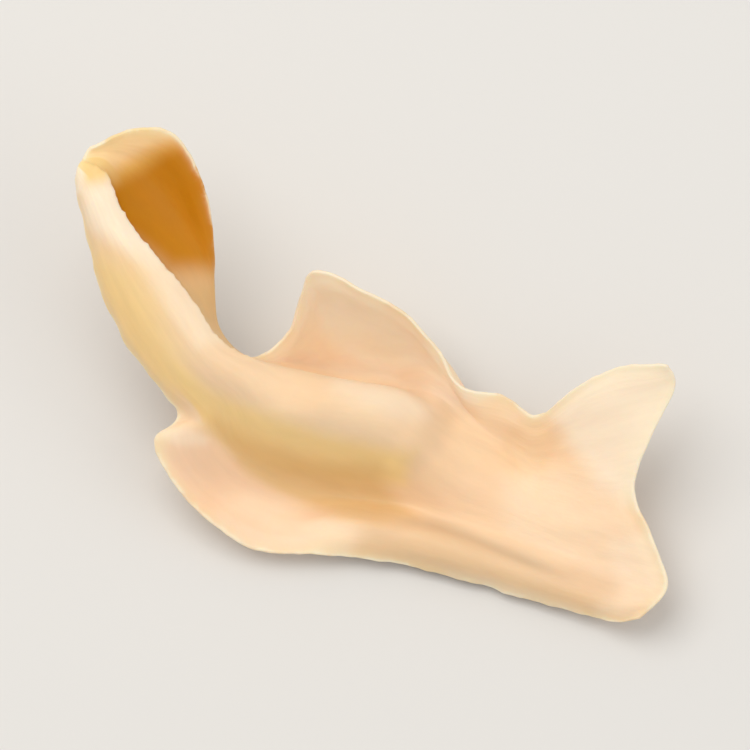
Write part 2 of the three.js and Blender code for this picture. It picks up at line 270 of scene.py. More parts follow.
# The near margin: down the horn's outer side, round the flap's corner and along the lip.
NEAR_MARGIN = (
    (-23.8, 15.9, 9.9), (-23.7, 14.1, 9.8), (-22.9, 11.1, 8.8), (-21.9, 6.8, 7), (-19.6, 2.4, 5.6),
    (-17, -1.1, 4.8), (-15.7, -3.2, 4.5), (-17.9, -4.9, 4.6), (-15.4, -9.5, 3.8), (-10, -13.8, 2.6),
    (-5.1, -14.3, 2.2), (-0.3, -14.7, 1.7), (4.1, -15.5, 1.5), (8.1, -16.6, 1.7), (10.7, -17.4, 1.9),
    (13.2, -18.1, 2.2), (17.3, -19.2, 3), (19.7, -19.8, 4), (21.4, -19.4, 5.4),
)

# The ridge of the lip, past which the sheet turns down to its near margin.
LIP_RIDGE = (
    (-23.9, 16.2, 10.4), (-23.4, 14.5, 10.9), (-22.3, 11.4, 10.2), (-21.2, 7.3, 8.8), (-19, 3.1, 7.6),
    (-16.3, -0.4, 6.6), (-14.2, -2.9, 5.3), (-15.1, -4.5, 5), (-12.4, -9.1, 1.2), (-7.6, -11.6, 0.5),
    (-3.2, -11.9, 1.5), (1.4, -12.4, 2.2), (5.1, -13.4, 2.8), (8.6, -14.7, 3.1), (11.2, -15.5, 3.2),
    (13.8, -16.4, 3.5), (17.8, -17.8, 4.1), (20.7, -18.4, 4.8), (23, -18.1, 6),
)

# The valley between the flap and the fold.
VALLEY = (
    (-23.9, 16.6, 10.8), (-23, 15.2, 11.7), (-21.6, 11.9, 11.3), (-19.9, 8.2, 10.4), (-17.6, 4.2, 9.4),
    (-14.9, 0.7, 8.4), (-12.3, -1.9, 6.4), (-11.4, -4.9, 2.8), (-8.6, -6.9, 0.6), (-4.9, -8.6, -0.7),
    (-1.4, -9.5, -0.8), (2.7, -10.3, -0.4), (5.7, -11.4, 0.4), (8.9, -12.3, 1.2), (11.6, -13.1, 1.6),
    (14.3, -13.8, 2.2), (18.4, -15.3, 3.3), (21.2, -15.9, 4.5), (23.9, -16.8, 6.1),
)

# The brow of the fold, on the near side of its top.
BROW = (
    (-23.8, 17.1, 11), (-22.5, 15.8, 11.8), (-21, 12.6, 11.6), (-18.6, 9.1, 11.2), (-15.9, 5.7, 10.6),
    (-13.4, 2, 9.8), (-10.5, 0, 8.8), (-8.1, -1.8, 7.8), (-5.4, -2.6, 7.5), (-2.7, -3.1, 6.5),
    (0.8, -3.9, 5), (3.8, -5.8, 3.1), (6.4, -7.8, 1.6), (9.2, -9.2, 1.3), (11.6, -10.1, 1.4),
    (13.8, -11.1, 2), (17.3, -11.9, 3.2), (20, -12.2, 4.4), (22.6, -12.7, 6),
)

# The crest, where the fold turns over: the horn's inner edge, then the far side of the fold's top.
CREST = (
    (-23.6, 17.5, 10.9), (-22.1, 16.4, 11.6), (-20.6, 13, 11.4), (-18, 9.6, 10.8), (-15.2, 6.3, 10.2),
    (-12.7, 2.6, 9.4), (-9.5, 0.9, 7.8), (-6.6, 0.1, 6.8), (-4.1, -0.5, 6.4), (-1.4, -1, 5.5),
    (2.2, -1.8, 4.2), (4.6, -3.8, 2.6), (6.9, -5.4, 1.4), (9.3, -6.5, 0.8), (11.4, -7.6, 0.6),
    (13.2, -8.4, 1), (16.5, -8.9, 2.4), (19.1, -9.2, 4), (21.2, -9.1, 5.8),
)

# The foot of the fold's far wall, down in the hollow behind it.
HOLLOW = (
    (-23.4, 17.8, 10.7), (-21.8, 17, 10.4), (-20.3, 13.4, 8.8), (-17.6, 10, 7.8), (-14.8, 6.6, 7.2),
    (-12.5, 2.8, 6.2), (-9.2, 0.9, 4.6), (-6.4, -0.1, -0.6), (-3.8, -0.8, -2.5), (-1.2, -1, -2.6),
    (2.4, -1.1, -2.2), (4.9, -1.2, -0.2), (7, -2.8, 0.5), (9.2, -4.3, 0.3), (11.2, -5.3, 0.2),
    (13.2, -6.4, 0.6), (16.4, -5.9, 2.4), (19.1, -5.7, 4.4), (22.3, -5.1, 6.9),
)

# Where the hood's inner wall, the back flap and the wing start to rise.
RISE = (
    (-23.1, 18.2, 10.6), (-21.3, 18.1, 9.3), (-18.2, 15.9, 6.8), (-15.5, 12.3, 5.4), (-13.5, 8.4, 4.8),
    (-12.6, 3.4, 3.2), (-9.6, 1.1, 1.6), (-6.8, 1.2, -1.7), (-4.3, 1.2, -3.5), (-1.8, 1.1, -3.6),
    (1.8, 0.9, -3.1), (4.1, 1.2, -0.2), (6.2, -0.1, 0.9), (8.4, -2.6, 0.8), (10.9, -3.4, 1.1),
    (13.2, -4.6, 1.2), (16.2, -3, 3.7), (19.5, -1.9, 6), (24.5, -0.4, 8.2),
)

# The far margin: over the hood, down to the deep notch, over the back flap and out to the wing.
FAR_MARGIN = (
    (-22.7, 18.6, 10.6), (-20.4, 19.9, 9.9), (-16.5, 20.2, 9.2), (-13.7, 16.1, 7.4), (-12.8, 10.8, 5),
    (-13.1, 5, 2), (-10.7, 1.7, 0.8), (-7.3, 3.2, 0.4), (-5.8, 6.8, 3.6), (-4.9, 8.9, 5.8), (-0.5, 7, 5.8),
    (2.7, 5.3, 5), (5.1, 2.4, 3.6), (7.2, -0.7, 2.3), (10.6, -1.2, 2), (13.1, -3, 2), (16.1, -0.8, 5),
    (19.9, 1.1, 7.2), (23.8, 1.2, 9.4),
)

LINES = (NEAR_MARGIN, LIP_RIDGE, VALLEY, BROW, CREST, HOLLOW, RISE, FAR_MARGIN)


def unit(vectors):
    """Each vector divided by its length."""
    return vectors / np.maximum(np.linalg.norm(vectors, axis=-1, keepdims=True), SHORTEST)


def smoothstep(low, high, value):
    """0 below low, 1 above high, and between them t * t * (3 - 2 * t) of the share t of the way."""
    t = np.clip((value - low) / (high - low), 0, 1)
    return t * t * (3 - 2 * t)


def bump(value, centre, spread):
    """A bell of height 1: e to the minus square of the distance from the centre over the spread."""
    return np.exp(-(((value - centre) / spread) ** 2))


def catmull_rom(points, shares):
    """Points on the centripetal Catmull-Rom curves through (..., n, 3) points, at shares 0 to 1 of the way.

    Each stretch between two points is the cubic that meets both. Its slopes there come from the three points
    round each end, whose distances count by their square roots.
    """
    stretches = points.shape[-2] - 1
    reach = np.clip(shares, 0, 1) * stretches
    first = np.minimum(reach.astype(int), stretches - 1)
    t = (reach - first)[:, None]
    before = 2 * points[..., :1, :] - points[..., 1:2, :]
    after = 2 * points[..., -1:, :] - points[..., -2:-1, :]
    padded = np.concatenate([before, points, after], -2)
    p0, p1, p2, p3 = (padded[..., first + k, :] for k in range(4))
    steps = (p1 - p0, p2 - p1, p3 - p2)
    d0, d1, d2 = (np.linalg.norm(step, axis=-1, keepdims=True) ** 0.5 for step in steps)
    slope1 = ((p1 - p0) / d0 - (p2 - p0) / (d0 + d1) + (p2 - p1) / d1) * d1
    slope2 = ((p2 - p1) / d1 - (p3 - p1) / (d1 + d2) + (p3 - p2) / d2) * d1
    square = -3 * p1 + 3 * p2 - 2 * slope1 - slope2
    cube = 2 * p1 - 2 * p2 + slope1 + slope2
    return ((cube * t + square) * t + slope1) * t + p1


def softened(grid, axis, passes):
    """The grid after some passes. Each makes a point half itself and a quarter of each neighbour."""
    lines = np.moveaxis(grid, axis, 0).copy()
    for _ in range(passes):
        lines[1:-1] = (lines[:-2] + 2 * lines[1:-1] + lines[2:]) / 4
    return np.moveaxis(lines, 0, axis)


def column_places():
    """Where the columns lie, counted in lines: even steps from each line to the next."""
    steps = [line + np.arange(count) / count for line, count in enumerate(COLUMNS_BETWEEN_LINES)]
    return np.concatenate(steps + [[len(COLUMNS_BETWEEN_LINES)]])


def middle_sheet(places):
    """The sheet half-way between its two faces: curves along the eight lines and across them, softened."""
    lines = np.array(LINES, float)
    stations = lines.shape[1] - 1
    along = catmull_rom(lines, np.linspace(0, 1, stations * ROWS_PER_STATION + 1))
    sheet = catmull_rom(np.swapaxes(along, 0, 1), places / (len(LINES) - 1))
    return softened(softened(sheet, 0, SOFTENING_ALONG), 1, SOFTENING_ACROSS)


def leaned(sheet):
    """The sheet turned about X from the lines' frame to the lying scale."""
    x, y, z = np.moveaxis(sheet, -1, 0)
    lean_cos = math.cos(LEAN)
    lean_sin = math.sin(LEAN)
    return np.stack([x, y * lean_cos - z * lean_sin, y * lean_sin + z * lean_cos], -1)


def sheet_normals(sheet):
    """Unit normals: the cross product of the differences along and across the grid."""
    return unit(np.cross(np.gradient(sheet, axis=0), np.gradient(sheet, axis=1)))


def solid_thickness(rows, places):
    """The solid's thickness: the lines' values in the body, less in the horn, least at the tip and the base.

    It is the margin's thickness plus what the body has over it, times a share that rises from the horn to the
    body, times one that falls to 0 at both ends.
    """
    u = np.linspace(0, 1, rows)[:, None]
    body = np.interp(places, np.arange(len(LINE_THICKNESS)), LINE_THICKNESS)[None, :]
    horn_to_body = HORN_SHARE + (1 - HORN_SHARE) * smoothstep(HORN_END, BODY_START, u)
    ends = smoothstep(0, END_TAPER, u) * smoothstep(0, END_TAPER, 1 - u)
    return SOLID_MARGIN + (body - SOLID_MARGIN) * horn_to_body * ends


def set_down(sheet, thickness):
    """The sheet moved so that the solid's box is the frame's, with its belly cut flat on the floor."""
    half = sheet_normals(sheet) * thickness[..., None] / 2
    faces = np.concatenate([sheet + half, sheet - half]).reshape(-1, 3)
    low, high = (np.array(corner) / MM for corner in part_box(NODE))
    shift = (low + high) / 2 - (faces.min(0) + faces.max(0)) / 2
    shift[2] = low[2] - FLAT_DEPTH - faces[:, 2].min()
    return sheet + shift


def runs(sheet, axis):
    """Distances along the grid lines from their first point, and from their last: the steps added up."""
    steps = np.linalg.norm(np.diff(sheet, axis=axis), axis=-1)
    start = np.zeros_like(np.take(steps, [0], axis=axis))
    run = np.concatenate([start, np.cumsum(steps, axis=axis)], axis=axis)
    return run, np.take(run, [-1], axis=axis) - run


def ripple(distance, wavelengths, random):
    """A sum of sine waves of the distance, each with a drawn phase, scaled to lie between -1 and 1."""
    waves = [np.sin(2 * math.pi * (distance / length + random.uniform())) for length in wavelengths]
    return sum(waves) / len(wavelengths)


def span(value, limits, fade):
    """1 between the two limits and 0 outside them, easing over the fade at each."""
    low, high = limits
    half = fade / 2
    return smoothstep(low - half, low + half, value) * (1 - smoothstep(high - half, high + half, value))


def nearest(plan, path):
    """Each point's distance to a path of straight pieces, and the share of the path at which it is met."""
    lengths = np.linalg.norm(np.diff(path, axis=0), axis=1)
    reached = np.concatenate([[0], np.cumsum(lengths)])
    best = np.full(plan.shape[:2], np.inf)
    share = np.zeros(plan.shape[:2])
    for start, end, length, before in zip(path[:-1], path[1:], lengths, reached):
        heading = (end - start) / length
        along = np.clip((plan - start) @ heading, 0, length)
        distance = np.linalg.norm(plan - start - along[..., None] * heading, axis=-1)
        closer = distance < best
        best = np.where(closer, distance, best)
        share = np.where(closer, (before + along) / reached[-1], share)
    return best, share


def inside(plan, outline, fade):
    """1 inside a closed outline and 0 outside it, easing over the fade.

    A point is inside when a ray from it towards +X meets the outline an odd number of times.
    """
    corners = np.array(outline, float)
    closed = np.concatenate([corners, corners[:1]])
    within = np.zeros(plan.shape[:2], bool)
    x, y = plan[..., 0], plan[..., 1]
    for (ax, ay), (bx, by) in zip(closed[:-1], closed[1:]):
        spans = (ay > y) != (by > y)
        rise = by - ay if by != ay else 1
        within ^= spans & (x < ax + (bx - ax) * (y - ay) / rise)
    away, _ = nearest(plan, closed)
    return smoothstep(-fade / 2, fade / 2, np.where(within, away, -away))


class Sheet:
    """The middle sheet with what is measured on it: grid places, normals and distances from the margins."""

    def __init__(self):
        self.places = column_places()
        sheet = middle_sheet(self.places)
        self.plan = sheet[..., :2]
        self.thickness = solid_thickness(len(sheet), self.places)
        self.points = set_down(leaned(sheet), self.thickness)
        self.stations = np.linspace(0, len(NEAR_MARGIN) - 1, len(sheet))[:, None]
        self.measure()

    def measure(self):
        """Takes the normals and distances anew, which is due after each change of the points."""
        self.normals = sheet_normals(self.points)
        self.from_tip, self.from_base = runs(self.points, 0)
        self.from_near, self.from_far = runs(self.points, 1)
        self.run = self.from_tip.mean(1, keepdims=True)
        self.breadth = self.across_from(BROW_LINE).mean(0, keepdims=True)
        distances = (self.from_tip, self.from_base, self.from_near, self.from_far)
        self.from_margin = np.minimum.reduce(distances)

    def across_from(self, line):
        """Distance across the sheet from one of the eight lines, positive towards the far margin."""
        column = sum(COLUMNS_BETWEEN_LINES[:line])
        return self.from_near - self.from_near[:, column:column + 1]

    def between(self, low, high):
        """1 where the place across lies between the two limits, easing over the place fade at each."""
        return span(self.places[None, :], (low, high), PLACE_FADE)

    def draw_in(self, shape, random):
        """Draws the margins in by half their own thickness and unevenly more, least away from them.

        A point moves along the sheet, away from each margin, by that margin's unevenness times a share that
        falls from 1 at the margin to 0 at the fade distance.
        """
        along = unit(np.gradient(self.points, axis=0))
        across = unit(np.gradient(self.points, axis=1))
        rounding = shape.margin_thickness / MM / 2
        nibble = shape.nibble_depth / MM
        margins = (
            (self.from_near, across, self.from_tip[:, :1], NIBBLE_WAVELENGTHS),
            (self.from_far, -across, self.from_tip[:, -1:], NIBBLE_WAVELENGTHS),
            (self.from_tip, along, self.from_near[:1, :], NIBBLE_WAVELENGTHS),
            (self.from_base, -along, self.from_near[-1:, :], BASE_WAVELENGTHS),
        )
        moved = self.points.copy()
        for distance, inward, run, wavelengths in margins:
            depth = rounding + nibble * (0.5 + 0.5 * ripple(run, wavelengths, random))
            hold = (1 - smoothstep(0, NIBBLE_FADE, distance)) * depth
            moved += inward * hold[..., None]
        self.points = moved
        self.measure()

    def wave_margins(self, shape, random):
        """Bends the margins a little up and down: a ripple along the sheet, fading away from the margin."""
        height = shape.margin_wave / MM
        lift = height * ripple(self.run + RIPPLE_SLANT * self.breadth, WAVE_WAVELENGTHS, random)
        lift = lift * np.exp(-self.from_margin / WAVE_FADE)
        self.points = self.points + self.normals * lift[..., None]
        self.measure()

    def vein_relief(self, shape, random):
        """Fine ribs that run with the length, at even distances from the fold's brow.

        The distance from the brow over the spacing, swayed by a ripple, gives the place in a cosine. Its cube
        makes narrow ribs, and a second ripple lets each one come and go.
        """
        sway = VEIN_SWAY * ripple(self.run + RIPPLE_SLANT * self.breadth, VEIN_SWAY_WAVELENGTHS, random)
        turns = self.breadth * MM / shape.vein_spacing + sway
        rib = (0.5 + 0.5 * np.cos(2 * math.pi * turns)) ** 3
        slanted = self.run + VEIN_FADE_SLANT * self.breadth
        strength = 0.5 + 0.5 * ripple(slanted, VEIN_FADE_WAVELENGTHS, random)
        return shape.vein_height / MM * rib * strength * smoothstep(0, VEIN_MARGIN, self.from_margin)

    def path_bell(self, path, width, ends):
        """A bell of the distance from a path near the lip, fading past the two shares of its length."""
        curve = catmull_rom(np.array(path, float), np.linspace(0, 1, PATH_POINTS))
        away, share = nearest(self.plan, curve)
        return bump(away, 0, width) * span(share, ends, PATH_END_FADE) * self.between(*LIP_PLACES)

    def groove(self):
        """Where the groove behind the lip lies, 0 to 1."""
        return self.path_bell(GROOVE, GROOVE_WIDTH, GROOVE_ENDS)

    def broad_relief(self, shape):
        """The fold's swollen end, the dent beside the wing and the fine ridge where the lip starts.

        Each is a height off the sheet, inside its outline or along its path.
        """
        swell = inside(self.plan, FOLD_OUTLINE, FOLD_FADE) * self.between(*FOLD_PLACES)
        dent = inside(self.plan, DENT_OUTLINE, DENT_FADE) * self.between(*DENT_PLACES)
        ridge = self.path_bell(RIDGE, RIDGE_WIDTH, RIDGE_ENDS)
        return (shape.fold_swell * swell - shape.dent_depth * dent + shape.ridge_height * ridge) / MM

    def horn_lip(self, shape, random):
        """The horn's thin inner edge: a ragged blade along the crest that leans over the hollow.

        A bell across the crest, times a torn ripple along it. It leans half-way from the normal to the far
        side.
        """
        across = self.across_from(CREST_LINE)
        torn = 1 - TORN_SHARE + TORN_SHARE * ripple(self.run, TORN_WAVELENGTHS, random)
        height = shape.horn_lip / MM * bump(across, HORN_LIP_PLACE, HORN_LIP_WIDTH) * torn
        height = height * span(self.stations, HORN_LIP_STATIONS, HORN_LIP_END_FADE)
        lean = unit(self.normals + unit(np.gradient(self.points, axis=1)))
        return lean * height[..., None]


def edge_padded(field):
    """The field carried on over the rows and columns that round the margins."""
    return np.pad(field, len(MARGIN_ROUND_STEPS), mode="edge")


def rounded_margins(points, half):
    """Adds rows round every margin so that the two faces meet there in a half round.

    At each angle a point goes outward by the margin's half thickness times the sine, and the half thickness
    there is what it was times the cosine.
    """
    angles = [math.radians(step) for step in MARGIN_ROUND_STEPS]
    radius = half
    for axis in (1, 0):
        p, h, r = (np.moveaxis(field, axis, 0) for field in (points, half, radius))
        outward = (unit(p[0] - p[1]), unit(p[-1] - p[-2]))
        first = [p[0] + outward[0] * (r[0] * math.sin(a))[..., None] for a in reversed(angles)]
        last = [p[-1] + outward[1] * (r[-1] * math.sin(a))[..., None] for a in angles]
        p = np.concatenate([first, p, last])
        first = [h[0] * math.cos(a) for a in reversed(angles)]
        last = [h[-1] * math.cos(a) for a in angles]
        h = np.concatenate([first, h, last])
        r = np.concatenate([[r[0]] * len(angles), r, [r[-1]] * len(angles)])
        points, half, radius = (np.moveaxis(field, 0, axis) for field in (p, h, r))
    return points, half


def quads(grid, turned):
    """The grid's cells as rows of four indices, anticlockwise seen along its normal, or turned over."""
    corners = [grid[:-1, :-1], grid[1:, :-1], grid[1:, 1:], grid[:-1, 1:]]
    if turned:
        corners.reverse()
    return np.stack(corners, -1).reshape(-1, 4)


def finished_surface(shape):
    """The vertices, faces and per-vertex fields of the whole scale, closed round its margins."""
    random = np.random.default_rng(SEED)
    sheet = Sheet()
    sheet.wave_margins(shape, random)
    sheet.draw_in(shape, random)
    margin = shape.margin_thickness / MM
    thin = margin / SOLID_MARGIN
    half = sheet.thickness / 2 * (thin + (1 - thin) * smoothstep(0, MARGIN_FADE, sheet.from_margin))
    groove = sheet.groove()
    upper_relief = sheet.vein_relief(shape, random) + sheet.broad_relief(shape)
    upper_relief = upper_relief - shape.crease_depth / MM * groove
    lower_relief = sheet.vein_relief(shape, random)
    added = len(MARGIN_ROUND_STEPS)
    lip = np.pad(sheet.horn_lip(shape, random), [(added, added), (added, added), (0, 0)])
    points, half = rounded_margins(sheet.points, half)
    normals = sheet_normals(points)
    inner = np.zeros(half.shape, bool)
    inner[1:-1, 1:-1] = True
    upper_half = (half + edge_padded(upper_relief) * inner)[..., None]
    lower_half = (half + edge_padded(lower_relief) * inner)[..., None]
    upper = points + normals * upper_half + lip
    lower = points - normals * lower_half
    vertices = np.concatenate([upper.reshape(-1, 3), lower[inner]])
    vertices[:, 2] = np.maximum(vertices[:, 2], 0)
    upper_index = np.arange(half.size).reshape(half.shape)
    lower_index = upper_index.copy()
    lower_index[inner] = half.size + np.arange(inner.sum())
    faces = np.concatenate([quads(upper_index, False), quads(lower_index, True)])
    fields = colour_fields(sheet, groove)
    whole = {}
    for name, (above, below) in fields.items():
        whole[name] = np.concatenate([edge_padded(above).ravel(), edge_padded(below)[inner]])
    return vertices * MM, faces, whole


def colour_fields(sheet, groove):
    """Where each tint lies, 0 to 1, on the upper and on the lower face.

    Patches of one tint are laid over each other: what each leaves uncovered is multiplied.
    """
    none = np.zeros(sheet.from_margin.shape)
    run = (none + sheet.run) / FIELD_LENGTH
    breadth = (none + sheet.breadth) / FIELD_LENGTH
    fields = {
        "run": (run, run),
        "breadth": (breadth, breadth),
        "margin": (np.exp(-sheet.from_margin / PALE_EDGE),) * 2,
        "crease": (groove, none),
    }
    for name in TINTS:
        bare = [none + 1, none + 1]
        for tint, strength, fade, places, below, outline in PATCHES:
            if tint == name:
                cover = strength * inside(sheet.plan, outline, fade) * sheet.between(*places)
                bare = [bare[0] * (1 - cover), bare[1] * (1 - below * cover)]
        fields[name] = (1 - bare[0], 1 - bare[1])
    return fields


def new_mesh_object(name, vertices, faces):
    """A smooth-shaded mesh object at the origin, filled from whole arrays."""
    mesh = bpy.data.meshes.new(name)
    mesh.vertices.add(len(vertices))
    mesh.vertices.foreach_set("co", vertices.astype(np.float32).ravel())
    mesh.loops.add(faces.size)
    mesh.loops.foreach_set("vertex_index", faces.astype(np.int32).ravel())
    mesh.polygons.add(len(faces))
    mesh.polygons.foreach_set("loop_start", np.arange(0, faces.size, 4, dtype=np.int32))
    mesh.update(calc_edges=True)
    mesh.polygons.foreach_set("use_smooth", np.ones(len(faces), bool))
    if mesh.validate():
        raise RuntimeError(f"the mesh of {name} had faulty faces")
    piece = bpy.data.objects.new(name, mesh)
    bpy.context.scene.collection.objects.link(piece)
    return piece


def keep_fields(mesh, fields):
    """Writes each field as a point attribute, which the material reads by name."""
    for name, values in fields.items():
        attribute = mesh.attributes.new(name, "FLOAT", "POINT")
        attribute.data.foreach_set("value", values.astype(np.float32))


class Shader:
    """A material's node tree, with short ways to add the nodes that it needs."""

    def __init__(self, name):
        self.material = bpy.data.materials.new(name)
        self.material.use_nodes = True
        self.tree = self.material.node_tree
        self.surface = self.tree.nodes["Principled BSDF"]

    def node(self, kind, inputs=None, **settings):
        """Adds a node. An input is a value, or another node's output, which is linked."""
        node = self.tree.nodes.new(kind)
        for name, value in settings.items():
            setattr(node, name, value)
        for key, value in (inputs or {}).items():
            self.feed(node.inputs[key], value)
        return node

    def feed(self, socket, value):
        """Links another node's output to the socket, or sets its value."""
        if isinstance(value, bpy.types.NodeSocket):
            self.tree.links.new(value, socket)
        else:
            socket.default_value = value

    def field(self, name):
        """One of the fields kept on the mesh."""
        return self.node("ShaderNodeAttribute", attribute_name=name, attribute_type="GEOMETRY").outputs["Fac"]

    def math(self, operation, a, b, c=0.0):
        """The result of one sum on numbers or outputs."""
        return self.node("ShaderNodeMath", {0: a, 1: b, 2: c}, operation=operation).outputs[0]

    def noise(self, vector, scale, detail, roughness, distortion):
        """A noise over the place that the vector gives, about 0 to 1."""
        inputs = {"Vector": vector, "Scale": scale, "Detail": detail, "Roughness": roughness,
                  "Distortion": distortion}
        return self.node("ShaderNodeTexNoise", inputs).outputs["Fac"]

    def range(self, value, low, high, to_low=0.0, to_high=1.0):
        """The value's place between low and high, held at both ends and carried over to the new range."""
        inputs = {"Value": value, "From Min": low, "From Max": high, "To Min": to_low, "To Max": to_high}
        return self.node("ShaderNodeMapRange", inputs, interpolation_type="SMOOTHSTEP").outputs["Result"]

    def mix(self, share, first, second, blend_type="MIX"):
        """The first colour, laid over by the second as far as the share says."""
        node = self.tree.nodes.new("ShaderNodeMix")
        node.data_type = "RGBA"
        node.blend_type = blend_type
        colours = [socket for socket in node.inputs if socket.type == "RGBA"]
        self.feed(node.inputs[0], share)
        self.feed(colours[0], first)
        self.feed(colours[1], second)
        return [socket for socket in node.outputs if socket.type == "RGBA"][0]


def opaque(colour):
    """A colour of three parts with full cover as its fourth."""
    return (*colour, 1.0)


def dried_flesh_material(look):
    """Dry, waxy bulb flesh: cream and peach in soft clouds, streaked along the length, with painted golden
    shade in the horn.
    """
    shader = Shader(SLOT)
    place = shader.node("ShaderNodeTexCoord").outputs["Object"]
    run = shader.field("run")
    breadth = shader.field("breadth")
    grain = shader.node("ShaderNodeCombineXYZ", {"X": run, "Y": breadth}).outputs[0]
    drawn_out = shader.node("ShaderNodeMapping", {"Vector": grain, "Scale": DRAWN_OUT}).outputs[0]

    clouds = shader.range(shader.noise(place, *CLOUDS), *CLOUD_RANGE)
    colour = shader.mix(clouds, opaque(look.cream), opaque(look.peach))
    for name in TINTS:
        colour = shader.mix(shader.field(name), colour, opaque(getattr(look, name)))

    streaks = shader.noise(drawn_out, *STREAKS)
    tone = shader.range(streaks, *STREAK_RANGE, 1.0 - look.streak_strength, 1.0 + look.streak_strength)
    grey = shader.node("ShaderNodeCombineColor", {"Red": tone, "Green": tone, "Blue": tone})
    colour = shader.mix(1.0, colour, grey.outputs[0], "MULTIPLY")

    # Painted shade along the groove behind the lip.
    crease = shader.math("MULTIPLY", shader.field("crease"), CREASE_SHADE_SHARE)
    colour = shader.mix(crease, colour, opaque(look.crease))
    broken = shader.range(shader.noise(place, *BROKEN_EDGE), *BROKEN_EDGE_RANGE)
    pale = shader.math("MULTIPLY", shader.field("margin"), broken)
    colour = shader.mix(pale, colour, opaque(look.pale_edge))

    wrinkles = shader.noise(drawn_out, *WRINKLES)
    skin = shader.noise(place, *SKIN)
    height = shader.math("MULTIPLY_ADD", skin, SKIN_SHARE, wrinkles)
    relief = {"Height": height, "Strength": BUMP_STRENGTH, "Distance": BUMP_DEPTH}
    bump_node = shader.node("ShaderNodeBump", relief)
    surface = shader.surface
    shader.feed(surface.inputs["Base Color"], colour)
    shader.feed(surface.inputs["Normal"], bump_node.outputs["Normal"])
    roughnesses = (look.roughness - ROUGHNESS_SWAY, look.roughness + ROUGHNESS_SWAY)
    shader.feed(surface.inputs["Roughness"], shader.range(streaks, *STREAK_RANGE, *roughnesses))
    surface.inputs["IOR"].default_value = 1.45
    surface.inputs["Specular IOR Level"].default_value = 0.3
    surface.inputs["Subsurface Weight"].default_value = look.translucency
    surface.inputs["Subsurface Radius"].default_value = SCATTER_COLOURS
    surface.inputs["Subsurface Scale"].default_value = SCATTER_LENGTH
    return shader.material


def floor_material(stage):
    """Matt pale board with a barely visible unevenness."""
    shader = Shader("stage_floor")
    place = shader.node("ShaderNodeTexCoord").outputs["Object"]
    clouds = shader.range(shader.noise(place, *FLOOR_CLOUDS), *FLOOR_CLOUD_RANGE)
    shaded = [FLOOR_SHADE * part for part in stage.floor_colour]
    colour = shader.mix(clouds, opaque(stage.floor_colour), opaque(shaded))
    shader.feed(shader.surface.inputs["Base Color"], colour)
    shader.surface.inputs["Roughness"].default_value = 0.8
    return shader.material


def direction(azimuth, elevation):
    """From the scale towards a light or the camera. The azimuth is counted from the front, -Y."""
    flat = math.cos(elevation)
    return Vector((math.sin(azimuth) * flat, -math.cos(azimuth) * flat, math.sin(elevation)))


def aim(thing, target):
    """Turns a light or camera so that it looks at the target."""
    thing.rotation_euler = (target - thing.location).to_track_quat("-Z", "Y").to_euler()


def framed_middle(elevation):
    """The point that the camera looks at, and the width of the solid's box.

    The point lies at the box's middle along X, and half-way between the piece's lowest and highest points as
    the camera sees them.
    """
    low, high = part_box(NODE)
    up = Vector((0.0, math.sin(elevation), math.cos(elevation)))
    mesh = bpy.data.objects[PIECE].data
    places = np.empty(len(mesh.vertices) * 3, np.float32)
    mesh.vertices.foreach_get("co", places)
    heights = places.reshape(-1, 3) @ np.array(up)
    middle_up = (heights.min() + heights.max()) / 2
    middle = Vector(((low.x + high.x) / 2, 0.0, 0.0)) + up * float(middle_up)
    return middle, high.x - low.x


def add_lamp(name, target, azimuth, elevation, size, power, colour):
    """A square soft light that looks at the target."""
    lamp = bpy.data.lights.new(name, "AREA")
    lamp.shape = "SQUARE"
    lamp.size = size
    lamp.energy = power
    lamp.color = colour
    holder = bpy.data.objects.new(name, lamp)
    holder.location = target + direction(azimuth, elevation) * LAMP_DISTANCE
    aim(holder, target)
    bpy.context.scene.collection.objects.link(holder)


def length_property(name, description, default, least, greatest):
    """A small length that the user may change."""
    return FloatProperty(name=name, description=description, default=default, min=least, max=greatest,
                         precision=6, unit="LENGTH")


def colour_property(name, description, default):
    """A colour that the user may change."""
    return FloatVectorProperty(name=name, description=description, default=default, min=0.0, max=1.0, size=3,
                               subtype="COLOR")


class ScaleShape(bpy.types.PropertyGroup):
    """Sizes of the scale's finish."""

    margin_thickness: length_property(
        "Margin thickness", "Thickness of the flesh at its margins", 0.0003, 0.0001, 0.00065)
    nibble_depth: length_property(
        "Margin unevenness", "How deep the small bites in the margins are", 0.00018, 0.0, 0.001)
    margin_wave: length_property("Margin wave", "How far the margins curl up and down", 0.00016, 0.0, 0.001)
    vein_spacing: length_property("Rib spacing", "From one fine rib to the next", 0.0013, 0.0003, 0.01)
    vein_height: length_property("Rib height", "Height of the fine ribs", 0.000014, 0.0, 0.0003)
    crease_depth: length_property("Crease depth", "Depth of the groove behind the lip", 0.00017, 0.0, 0.0004)
    ridge_height: length_property(
        "Ridge height", "Height of the fine ridge where the lip starts", 0.0002, 0.0, 0.0004)
    fold_swell: length_property(
        "Fold swell", "How far the fold's rounded end stands off the sheet", 0.00005, 0.0, 0.0005)
    dent_depth: length_property("Dent depth", "Depth of the dent beside the wing", 0.00018, 0.0, 0.0004)
    horn_lip: length_property("Horn lip", "Height of the ragged inner edge of the horn", 0.0004, 0.0, 0.001)


